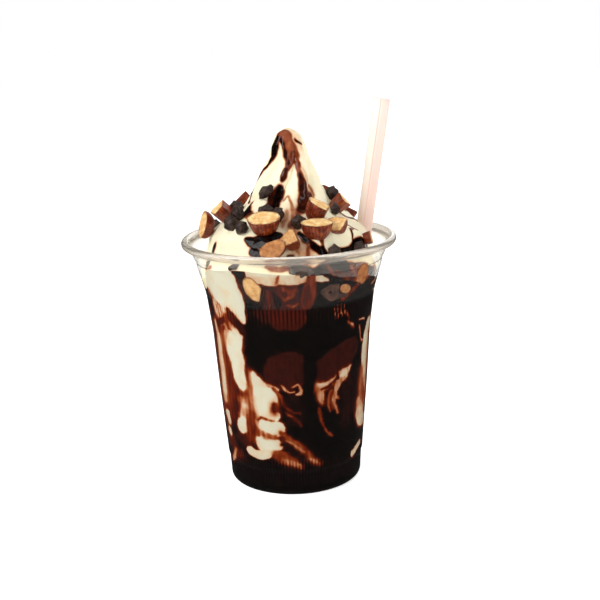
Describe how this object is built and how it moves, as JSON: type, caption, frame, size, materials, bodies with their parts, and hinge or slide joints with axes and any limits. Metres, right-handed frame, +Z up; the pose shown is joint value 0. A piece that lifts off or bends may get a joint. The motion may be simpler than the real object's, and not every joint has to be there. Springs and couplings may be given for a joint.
{
  "type": "soft serve sundae in a clear cup",
  "caption": "Soft serve sundae in a clear flared cup: fudge and ice cream layers, a folded swirl with cut almonds and chocolate chunks, and a straw.",
  "frame": {"origin": "centre of the cup's foot, on the plane that the cup stands on", "axes": "+Z up along the cup's axis; the side shown in the picture faces -Y; the straw leans towards +X"},
  "size_m": [0.098, 0.0979, 0.1746],
  "materials": {
    "clear_cup": "clear thin thermoformed plastic",
    "soft_serve": "soft, slightly moist ice cream, cream white, marbled with brown fudge at the wall",
    "fudge": "glossy, nearly black fudge sauce",
    "almond": "red-brown ridged skin and a pale tan cut face",
    "chocolate": "dull dark chocolate with a dusty bloom",
    "straw": "translucent pale plastic tube with a faint pink line"
  },
  "bodies": {
    "root": {"almond_1": "almond", "almond_2": "almond", "almond_3": "almond", "almond_4": "almond", "almond_5": "almond", "almond_6": "almond", "almond_7": "almond", "almond_8": "almond", "almond_9": "almond", "almond_10": "almond", "almond_11": "almond", "almond_12": "almond", "almond_13": "almond", "almond_14": "almond", "almond_15": "almond", "almond_16": "almond", "almond_17": "almond", "almond_18": "almond", "almond_19": "almond", "almond_20": "almond", "chunk_1": "chocolate", "chunk_2": "chocolate", "chunk_3": "chocolate", "chunk_4": "chocolate", "chunk_5": "chocolate", "chunk_6": "chocolate", "chunk_7": "chocolate", "chunk_8": "chocolate", "chunk_9": "chocolate", "chunk_10": "chocolate", "chunk_11": "chocolate", "chunk_12": "chocolate", "chunk_13": "chocolate", "chunk_14": "chocolate", "chunk_15": "chocolate", "chunk_16": "chocolate", "chunk_17": "chocolate", "chunk_18": "chocolate", "chunk_19": "chocolate", "chunk_20": "chocolate", "chunk_21": "chocolate", "chunk_22": "chocolate", "brownie": "chocolate", "fudge_pool": "fudge", "lower_soft_serve": "soft_serve", "fudge_band": "fudge", "top_soft_serve": "soft_serve", "cup": "clear_cup", "straw": "straw"}
  },
  "joints": []
}
